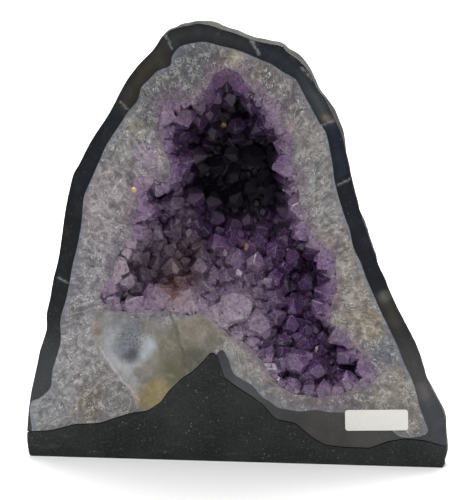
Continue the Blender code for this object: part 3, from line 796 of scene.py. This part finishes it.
def paperLabel(look):
    bm = bmesh.new()
    turn = Matrix.Rotation(-look["turn"], 4, "Y")
    turn = Matrix.Translation((look["middle"][0], cutY - gap, look["middle"][1])) @ turn
    straightX, straightZ = look["wide"] / 2 - look["corner"], look["high"] / 2 - look["corner"]
    corners = []
    for sideX, sideZ, start in ((1, 1, 0), (-1, 1, 90), (-1, -1, 180), (1, -1, 270)):
        for part in range(7):
            angle = math.radians(start + 15 * part)
            corners.append((sideX * straightX + look["corner"] * math.cos(angle),
                            sideZ * straightZ + look["corner"] * math.sin(angle)))
    rings = []
    for inset, front in ((1.0, 0.0), (1.0, look["thick"] - 0.00008), (0.985, look["thick"])):
        rings.append([bm.verts.new(turn @ Vector((x * inset, -front, z * inset))) for x, z in corners])
    ringFaces(bm, rings)
    bm.faces.new(rings[0])
    bm.faces.new(rings[-1])
    return newObject("paperLabel", bm)


def paperMaterial(look):
    n = Nodes("paper")
    where = n.where()
    fibre = n.noise(n.vector("MULTIPLY", where, (0.5, 1.0, 1.0)), 1500, 4, 0.6)
    n.colour = n.mix(n.ramp(fibre, 0.3, 0.7), *look["paper"])
    n.lay(look["stain"], n.ramp(n.noise(where, 120, 4, 0.6), 0.55, 0.80, 0.0, 0.35))
    return n.finish(n.colour, look["roughness"], n.bump(fibre, 0.2, 0.0002))


label = paperLabel(labelLook)
coat(label, paperMaterial(labelLook))


# amethyst crust: three layers of crystals scattered over the hollow's wall, and single large ones
crustLook = {
    "layers": [
        {"Spacing": 0.0090, "Density": 22000.0, "Smallest": 0.0050, "Largest": 0.0078, "Lean": 0.50, "Seed": 4},
        {"Spacing": 0.0050, "Density": 60000.0, "Smallest": 0.0030, "Largest": 0.0048, "Lean": 0.65, "Seed": 8},
        {"Spacing": 0.0036, "Density": 120000.0, "Smallest": 0.0016, "Largest": 0.0027, "Lean": 0.90, "Seed": 15},
    ],
    "bevel": 0.05,
    "deep": ((0.058, 0.015, 0.105), (0.185, 0.080, 0.258)),
    "light": ((0.275, 0.195, 0.290), (0.410, 0.335, 0.385)),
    "ior": 1.544, "clear": 0.25, "gloss": 0.30,
    # places of x, z, reach in mm, strength
    # pale places: milky crystals, and on the hollow's floor also painted light, where the floor crystals lie lit
    "pale": [
        (-60, 110, 16, 0.60), (-38, 122, 16, 0.50), (-39, 110, 15, 0.35), (-16, 118, 16, 0.50), (10, 114, 12, 0.35),
        (24, 168, 11, 0.25), (38, 140, 8, 0.20), (32, 165, 8, 0.25), (-34, 143, 10, 0.20), (3, 86, 17, 0.70),
        (-64, 98, 10, 0.25), (-34, 93, 9, 0.35), (44, 58, 9, 0.25), (58, 72, 10, 0.35), (-52, 172, 12, 0.55),
        (-26, 208, 14, 0.40), (18, 204, 10, 0.60), (30, 190, 9, 0.55), (-31, 143, 9, 0.45), (-46, 163, 10, 0.5),
        (30, 150, 9, 0.25), (-24, 90, 12, 0.45), (-28, 196, 10, 0.35), (54, 105, 8, 0.35),
    ],
    "rust": [(-35, 103, 11, 0.75), (-36, 96, 6, 0.8), (-8, 215, 5, 0.5), (-30, 117, 6, 0.5), (-23, 196, 8, 0.35)],
    # painted shade: places where the hollow lies in shadow, deep at the top and in its pockets, darkened
    "dark": [
        (-12, 154, 22, 1.0), (-6, 199, 15, 1.1), (52, 62, 12, 0.60), (12, 168, 14, 0.6), (44, 92, 12, 0.4),
        (34, 108, 10, 0.3), (-36, 176, 8, 0.3),
    ],
    # painted highlights: bright gold glints at three places on the crystals
    "paintedGoldGlints": [(-57.5, 153.0, 1.9), (-11.5, 187.5, 1.8), (2.3, 117.2, 1.9)],  # x, z, radius in mm
    # x, z, behind the cut (0 on the wall), radius in mm, the way it points, tone
    "large": [
        (-50, 172, 6, 9.5, (0.55, -0.75, -0.25), 0.7), (-42, 164, 8, 6.5, (0.75, -0.60, -0.30), 0.3),
        (-30, 192, 8, 8.0, (0.45, -0.70, -0.55), 0.4), (-20, 201, 7, 6.0, (0.30, -0.60, -0.75), 0.5),
        (-40, 186, 5, 6.0, (0.70, -0.60, -0.30), 0.6), (24, 190, 6, 7.5, (-0.65, -0.60, -0.40), 0.9),
        (12, 204, 6, 6.0, (-0.30, -0.60, -0.75), 0.5), (30, 166, 9, 7.5, (-0.80, -0.50, -0.15), 0.4),
        (34, 148, 8, 6.5, (-0.85, -0.50, 0.05), 0.6), (14, 190, 22, 6.5, (-0.45, -0.80, -0.35), 0.2),
        (-2, 188, 24, 6.0, (0.10, -0.90, -0.40), 0.1), (34, 58, 6, 8.0, (-0.10, -0.80, 0.60), 0.8),
        (46, 54, 6, 6.5, (0.15, -0.75, 0.60), 0.5), (60, 62, 5, 6.5, (-0.50, -0.75, 0.30), 0.7),
        (54, 92, 7, 7.0, (-0.80, -0.55, 0.05), 0.6), (47, 116, 8, 7.0, (-0.75, -0.55, -0.30), 0.5),
        (0, 89, 5, 11.5, (0.05, -0.80, 0.60), 0.9), (-12, 85, 4, 7.5, (-0.15, -0.80, 0.60), 0.7),
        (13, 80, 5, 8.5, (0.35, -0.75, 0.60), 0.6), (-43, 93, 4, 9.5, (-0.05, -0.80, 0.60), 0.8),
        (-28, 92, 4, 10.5, (0.08, -0.80, 0.60), 0.8), (-62, 102, 7, 6.5, (0.45, -0.70, 0.50), 0.5),
        (-46, 112, 0, 6.5, (0.10, -0.60, 0.78), 0.3), (-20, 108, 0, 7.0, (0.05, -0.60, 0.78), 0.4),
        (-30, 124, 0, 7.0, (0.05, -0.60, 0.78), 0.3), (-60, 118, 0, 6.0, (0.35, -0.55, 0.70), 0.2),
        (-6, 122, 0, 7.0, (-0.05, -0.60, 0.78), 0.4), (12, 106, 0, 7.0, (0.20, -0.65, 0.72), 0.4),
        (-40, 130, 0, 7.0, (-0.10, -0.70, 0.70), 0.5), (-18, 134, 0, 6.5, (0.20, -0.70, 0.70), 0.3),
        (-38, 112, 0, 6.0, (0.10, -0.65, 0.72), 0.6), (-12, 114, 0, 6.0, (0.00, -0.65, 0.72), 0.2),
        (-52, 124, 0, 6.0, (0.25, -0.65, 0.68), 0.4), (2, 112, 0, 6.5, (0.10, -0.65, 0.72), 0.5),
        (-24, 117, 0, 5.5, (0.00, -0.65, 0.72), 0.1), (-56, 110, 0, 6.0, (0.25, -0.60, 0.70), 0.5),
    ],
}


def crystalTemplate(name, seed, steep, bevel):
    # six-sided and blunt, with three larger and three smaller end faces
    rng = np.random.default_rng(seed)
    bm = bmesh.new()
    bmesh.ops.create_cone(bm, cap_ends=True, segments=6, radius1=0.82, radius2=1.0, depth=2.6)
    bmesh.ops.translate(bm, verts=bm.verts, vec=(0, 0, 0.35))
    for k in range(6):
        angle = math.radians(30 + 60 * k + rng.uniform(-4, 4))
        tilt = math.radians(steep + rng.uniform(-3, 3))
        up = Vector((math.cos(angle) * math.sin(tilt), math.sin(angle) * math.sin(tilt), math.cos(tilt)))
        height = 1.0 + (0.07 if k % 2 else -0.03) + rng.uniform(-0.09, 0.09)
        cut = bmesh.ops.bisect_plane(bm, geom=list(bm.verts) + list(bm.edges) + list(bm.faces),
                                     plane_co=up * height, plane_no=up, clear_outer=True)
        bmesh.ops.contextual_create(bm, geom=[e for e in cut["geom_cut"] if isinstance(e, bmesh.types.BMEdge)])
    # the bevel faces are marked with "edge", which the amethyst finish paints lighter as a painted highlight
    edge = bm.faces.layers.float.new("edge")
    if bevel:
        made = bmesh.ops.bevel(bm, geom=[e for e in bm.edges if e.calc_face_angle(0) > 0.2], offset=bevel,
                               segments=1, affect="EDGES", clamp_overlap=True)
        for face in made["faces"]:
            face[edge] = 1
    bmesh.ops.remove_doubles(bm, verts=bm.verts, dist=1e-4)
    made = newObject(name, bm)
    z = meshPoints(made.data)[:, 2]
    store(made.data, "tip", (z - z.min()) / (z.max() - z.min()))
    return made


def crystalGroup(name, count, steep, bevel):
    group = bpy.data.collections.new(name)
    for k in range(count):
        made = crystalTemplate(f"{name}{k}", 20 + k, steep, bevel)
        bpy.context.scene.collection.objects.unlink(made)
        group.objects.link(made)
    return group


def growthTree():
    tree = bpy.data.node_groups.new("growth", "GeometryNodeTree")
    sockets = {"Geometry": "Geometry", "Spacing": "Float", "Density": "Float", "Smallest": "Float",
               "Largest": "Float", "Lean": "Float", "Seed": "Int", "Crystals": "Collection", "Material": "Material"}
    for name, kind in sockets.items():
        tree.interface.new_socket(name, in_out="INPUT", socket_type="NodeSocket" + kind)
    tree.interface.new_socket("Geometry", in_out="OUTPUT", socket_type="NodeSocketGeometry")
    given = tree.nodes.new("NodeGroupInput").outputs
    seed = given["Seed"]

    def add(kind, inputs, **settings):
        return newNode(tree, kind, inputs, **settings)

    spread = add("GeometryNodeDistributePointsOnFaces", {
        "Mesh": given["Geometry"], "Distance Min": given["Spacing"], "Density Max": given["Density"],
        "Seed": seed}, distribute_method="POISSON")
    # each crystal leans a little off the wall's normal and turns freely about itself
    lean = add("ShaderNodeMath", {0: given["Lean"], 1: -1.0}, operation="MULTIPLY")[0]
    low = add("ShaderNodeCombineXYZ", {0: lean, 1: lean, 2: -3.14159})[0]
    high = add("ShaderNodeCombineXYZ", {0: given["Lean"], 1: given["Lean"], 2: 3.14159})[0]
    tilt = add("FunctionNodeRandomValue", {0: low, 1: high, "Seed": seed}, data_type="FLOAT_VECTOR")[0]
    turned = add("FunctionNodeRotateRotation", {
        "Rotation": spread["Rotation"], "Rotate By": add("FunctionNodeEulerToRotation", {0: tilt})[0]},
        rotation_space="LOCAL")[0]
    size = add("FunctionNodeRandomValue", {2: given["Smallest"], 3: given["Largest"], "Seed": seed},
               data_type="FLOAT")[1]
    shapes = add("GeometryNodeCollectionInfo", {
        "Collection": given["Crystals"], "Separate Children": True, "Reset Children": True})[0]
    put = add("GeometryNodeInstanceOnPoints", {
        "Points": spread["Points"], "Instance": shapes, "Pick Instance": True, "Rotation": turned,
        "Scale": size})[0]
    tone = add("FunctionNodeRandomValue", {2: 0.0, 3: 1.0, "Seed": seed}, data_type="FLOAT")[1]
    kept = add("GeometryNodeStoreNamedAttribute", {"Geometry": put, "Name": "tone", "Value": tone},
               data_type="FLOAT", domain="INSTANCE")[0]
    real = add("GeometryNodeRealizeInstances", {"Geometry": kept})[0]
    add("NodeGroupOutput", {0: add("GeometryNodeSetMaterial", {
        "Geometry": real, "Material": given["Material"]})[0]})
    return tree


def grow(wall, tree, values):
    # one layer of crystals on the wall, as a plain mesh
    step = wall.modifiers.new("growth", "NODES")
    step.node_group = tree
    for item in tree.interface.items_tree:
        if item.in_out == "INPUT" and item.name in values:
            step[item.identifier] = values[item.name]
    bpy.context.view_layer.update()
    mesh = bpy.data.meshes.new_from_object(wall.evaluated_get(bpy.context.evaluated_depsgraph_get()))
    wall.modifiers.remove(step)
    return mesh


def amethystMaterial(look):
    n = Nodes("amethyst")
    where = n.where()
    tone, tip, pale, rust, shade, edge = map(n.attribute, ("tone", "tip", "pale", "rust", "shade", "edge"))
    cloud = n.noise(where, 260, 4, 0.65, 0.4)
    veil = n.noise(where, 800, 4, 0.7)
    deep = n.mix(tone, *look["deep"])
    deep = n.over(deep, (0.140, 0.088, 0.115), n.ramp(n.noise(where, 70, 3), 0.38, 0.62, 0.0, 0.6), 0.50)
    # paler where the crystals are milky, and at the pale places on the hollow's floor also painted light
    milkyAndPaintedLight = n.math("ADD", pale, n.ramp(cloud, 0.35, 0.70, -0.12, 0.22), clamp=True)
    milkyAndPaintedLight = n.math("ADD", milkyAndPaintedLight, n.ramp(tip, 0.75, 0.15, 0.0, 0.10), clamp=True)
    n.colour = n.mix(milkyAndPaintedLight, deep, n.mix(tone, *look["light"]))
    # fine veins, cloudy and dark flaws, and painted glints: tiny white specks of painted highlight
    n.lay((0.50, 0.44, 0.50), n.threads(where, 330, 1.5, 0.020), n.ramp(veil, 0.45, 0.62, 0.0, 0.45))
    n.lay((0.75, 0.70, 0.76), n.ramp(veil, 0.54, 0.68, 0.0, 0.40), 0.45)
    n.lay((0.010, 0.004, 0.016), n.ramp(veil, 0.48, 0.36, 0.0, 0.40), 0.75)
    n.lay((0.95, 0.93, 0.96), n.ramp(n.voronoi(where, 330), 0.095, 0.03),
          n.ramp(n.noise(where, 95, 2), 0.51, 0.57), 0.9)
    n.lay((0.012, 0.005, 0.020), n.ramp(n.noise(where, 380, 3, 0.6, 0.8), 0.50, 0.34, 0.0, 0.70), 0.80)
    n.lay((0.150, 0.055, 0.022), rust, n.ramp(cloud, 0.30, 0.62))
    # painted highlight: the bevelled crystal edges are painted lighter, as glints along the edges
    n.lay((0.75, 0.68, 0.76), edge, n.ramp(veil, 0.40, 0.60, 0.05, 0.40), 0.5)
    n.lay((0.006, 0.003, 0.010), shade)
    across = n.vector("MULTIPLY", where, (1, 0, 1))
    # painted highlights: bright gold glints, one disc at each listed place
    for x, z, radius in look["paintedGoldGlints"]:
        off = n.vector("DISTANCE", across, (x * mm, 0, z * mm), "Value")
        off = n.math("ADD", off, n.ramp(veil, 0.3, 0.7, -0.0006, 0.0006))
        n.lay((0.78, 0.49, 0.26), n.ramp(off, radius * mm, radius * mm * 0.6, 0.0, 0.9))
    rough = n.math("ADD", n.ramp(cloud, 0.3, 0.7, 0.08, 0.22), n.times(shade, 0.45))
    return n.finish(n.colour, rough, n.bump(veil, 0.25, 0.0004), IOR=look["ior"],
                    Transmission_Weight=look["clear"], Specular_IOR_Level=look["gloss"])


def placeShare(points, places):
    total = np.zeros(len(points))
    for x, z, reach, strength in places:
        off = ((points[:, 0] / mm - x) ** 2 + (points[:, 1] / mm - z) ** 2) / reach**2
        total += strength * np.exp(-off)
    return total


def placedCrystals(places, shapes):
    bm = bmesh.new()
    bm.verts.layers.float.new("tone")
    bm.verts.layers.float.new("tip")
    bm.faces.layers.float.new("edge")
    flat = np.array([place[:2] for place in places]) * mm
    onWall = wallDepth(flat, net[0], 0.0, np.zeros(len(flat), bool)) / mm
    for k, (x, z, behind, radius, along, tone) in enumerate(places):
        behind = behind or onWall[k] - 0.25 * radius
        turn = Vector(along).to_track_quat("Z", "Y") @ Quaternion((0, 0, 1), 0.7 * k)
        base = Vector((x * mm, cutY + behind * mm, z * mm)) - Vector(along).normalized() * radius * 0.6 * mm
        old = len(bm.verts)
        bm.from_mesh(shapes[k % len(shapes)].data)
        bm.verts.ensure_lookup_table()
        tones = bm.verts.layers.float["tone"]
        for vert in bm.verts[old:]:
            vert.co = base + turn @ (vert.co * radius * mm)
            vert[tones] = tone
    mesh = bpy.data.meshes.new("placed")
    bm.to_mesh(mesh)
    bm.free()
    return mesh


def joinInto(target, meshes):
    # puts the crystals into the target's mesh, with their attributes, and saws them off at the cut face
    bm = bmesh.new()
    bm.from_mesh(target.data)
    for name in ("tone", "tip"):
        bm.verts.layers.float.new(name)
    bm.faces.layers.float.new("edge")
    for mesh in meshes:
        bm.from_mesh(mesh)
    sawn = bmesh.ops.bisect_plane(bm, geom=list(bm.verts) + list(bm.edges) + list(bm.faces), dist=1e-7,
                                  plane_co=(0, cutY + 0.0001, 0), plane_no=(0, -1, 0), clear_outer=True)
    rims = [e for e in sawn["geom_cut"] if isinstance(e, bmesh.types.BMEdge) and len(e.link_faces) == 1]
    caps = bmesh.ops.holes_fill(bm, edges=rims, sides=0)["faces"]
    bm.normal_update()
    edge, tone = bm.faces.layers.float["edge"], bm.verts.layers.float["tone"]
    for face in caps:
        face[edge] = 0
    # caps of neighbours overlap, so each one lies at a depth of its own
    for vert in {v for f in caps for v in f.verts}:
        vert.co.y += 0.0007 * vert[tone]
    bmesh.ops.reverse_faces(bm, faces=[f for f in caps if f.normal.y > 0])
    bm.to_mesh(target.data)
    bm.free()


def paintCrust(piece, look):
    place = meshPoints(piece.data)
    flat = place[:, [0, 2]]
    behind = place[:, 1] - cutY
    toMouth = distanceTo(flat, closedLine(mouthLine, 0.004))
    dark = placeShare(flat, look["dark"])
    pale = placeShare(flat, look["pale"]) + 0.60 * np.exp(-toMouth / 0.007) * np.exp(-behind / 0.012)
    # painted shade: less pale at the dark places and deeper in the hollow
    pale -= dark + np.clip((behind - 0.030) / 0.040, 0, 0.4)
    store(piece.data, "pale", np.clip(pale, -0.3, 1))
    # painted shade: darker deep in the hollow's upper part and at the dark places
    shade = np.clip((behind - 0.024) / 0.036, 0, 0.85) * np.clip((flat[:, 1] - 0.118) / 0.030, 0.10, 1)
    store(piece.data, "shade", np.clip(shade + 0.6 * np.clip(dark, 0, 1), 0, 0.95))
    store(piece.data, "rust", np.clip(placeShare(flat, look["rust"]), 0, 1))


bm = bmesh.new()
bridge(bm, wallSheet(bm, net, 0.0003, cutY + 0.0020), wallSheet(bm, net, 0.0012, cutY + 0.0020))
crust = newObject("amethystCrust", bm)
bm = bmesh.new()
wallSheet(bm, net, 0.0008, cutY + 0.0002)
bmesh.ops.recalc_face_normals(bm, faces=bm.faces)
bm.normal_update()
if sum(f.normal.y * f.calc_area() for f in bm.faces) > 0:
    bmesh.ops.reverse_faces(bm, faces=bm.faces)
wall = bpy.data.objects.new("wall", bpy.data.meshes.new("wall"))
bm.to_mesh(wall.data)
bm.free()
bpy.context.scene.collection.objects.link(wall)

amethyst = amethystMaterial(crustLook)
tree = growthTree()
templates = crystalGroup("crystal", 5, 50, crustLook["bevel"])
grains = crystalGroup("grain", 3, 48, 0.0)
meshes = []
for layer, shapes in zip(crustLook["layers"], (templates, templates, grains)):
    meshes.append(grow(wall, tree, {**layer, "Crystals": shapes, "Material": amethyst}))
    print("layer of crystals,", len(meshes[-1].polygons), "faces")
meshes.append(placedCrystals(crustLook["large"], list(templates.objects)))
joinInto(crust, meshes)
paintCrust(crust, crustLook)
coat(crust, amethyst)

for helper in (core, room, underTop, underRind, wall, *templates.objects, *grains.objects):
    bpy.data.objects.remove(helper)
for group in (templates, grains):
    bpy.data.collections.remove(group)

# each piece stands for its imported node
pieces = [(rind, "agate_rind", "agate"), (quartz, "quartz_band", "quartz"), (foot, "basalt_foot", "basalt"),
          (crust, "amethyst_crust", "amethyst"), (label, "paper_label", "label")]
for piece, node, slot in pieces:
    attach(piece, "root")
    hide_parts(node)
print(len(pieces), "pieces stand for their nodes")


# the photograph's angle, in degrees, metres and millimetres of lens
cameraView = {"target": (-0.00249, -0.040, 0.12041), "azimuth": 5.0, "elevation": 7.0, "roll": 0.399,
              "distance": 0.90, "lens": 116.593}


def makeCamera(view):
    a, e, roll = (math.radians(view[key]) for key in ("azimuth", "elevation", "roll"))
    back = Vector((math.sin(a) * math.cos(e), -math.cos(a) * math.cos(e), math.sin(e)))
    right = Vector((0, 0, 1)).cross(back).normalized()
    up = back.cross(right)
    c, s = math.cos(roll), math.sin(roll)
    turned = Matrix((right * c + up * s, up * c - right * s, back)).transposed().to_4x4()
    camera = bpy.data.objects.new("camera", bpy.data.cameras.new("camera"))
    camera.data.lens = view["lens"]
    camera.data.clip_start = 0.05
    camera.data.clip_end = 20
    camera.matrix_world = Matrix.Translation(Vector(view["target"]) + back * view["distance"]) @ turned
    bpy.context.scene.collection.objects.link(camera)
    bpy.context.scene.camera = camera


# studio: white floor that curves up behind, broad soft lights
studio = {
    "front": -0.42, "bend": 2.0, "radius": 0.5, "high": 3.0, "side": 3.5, "world": 0.38,
    # name, place, aim, size, power
    "lights": [
        ("keyLight", (-0.28, -0.78, 1.32), (0, 0, 0.10), (0.40, 0.40), 10.5),
        ("fillLight", (0.95, -0.80, 0.45), (0, 0, 0.10), (0.5, 0.5), 1.8),
        ("topLight", (0.0, 0.20, 1.50), (0, 0, 0.10), (1.2, 0.9), 9),
        ("backLight", (0.0, 1.30, 1.90), (0, 1.60, 0.0), (3.0, 1.2), 75),
        ("rearLight", (0.5, 1.60, 1.10), (0, 0, 0.12), (0.9, 0.9), 14),
    ],
}


def whiteStage(look):
    bm = bmesh.new()
    bend, radius = look["bend"], look["radius"]
    profile = [(look["front"], 0.0), (bend, 0.0)]
    for a in np.linspace(0.1, math.pi / 2, 12):
        profile.append((bend + radius * math.sin(a), radius - radius * math.cos(a)))
    profile += [(bend + radius, look["high"])]
    left, right = [[bm.verts.new((x, y, z)) for y, z in profile] for x in (-look["side"], look["side"])]
    for k in range(len(profile) - 1):
        bm.faces.new((left[k], right[k], right[k + 1], left[k + 1]))
    floor = newObject("floor", bm, smooth=True)
    n = Nodes("floor")
    n.finish(n.mix(n.noise(n.where(), 3.0, 2), (0.90, 0.90, 0.90), (0.93, 0.93, 0.93)), 0.9)
    floor.data.materials.append(n.material)


def softLight(name, place, aim, size, power):
    data = bpy.data.lights.new(name, "AREA")
    data.shape = "RECTANGLE"
    data.size, data.size_y = size
    data.energy = power
    made = bpy.data.objects.new(name, data)
    made.location = place
    made.rotation_euler = (Vector(aim) - Vector(place)).to_track_quat("-Z", "Y").to_euler()
    bpy.context.scene.collection.objects.link(made)


makeCamera(cameraView)
whiteStage(studio)
for light in studio["lights"]:
    softLight(*light)
world = bpy.data.worlds.new("world")
bpy.context.scene.world = world
world.use_nodes = True
world.node_tree.nodes["Background"].inputs["Color"].default_value = (1, 1, 1, 1)
world.node_tree.nodes["Background"].inputs["Strength"].default_value = studio["world"]
bpy.context.scene.view_settings.view_transform = "Standard"
print("camera and studio")
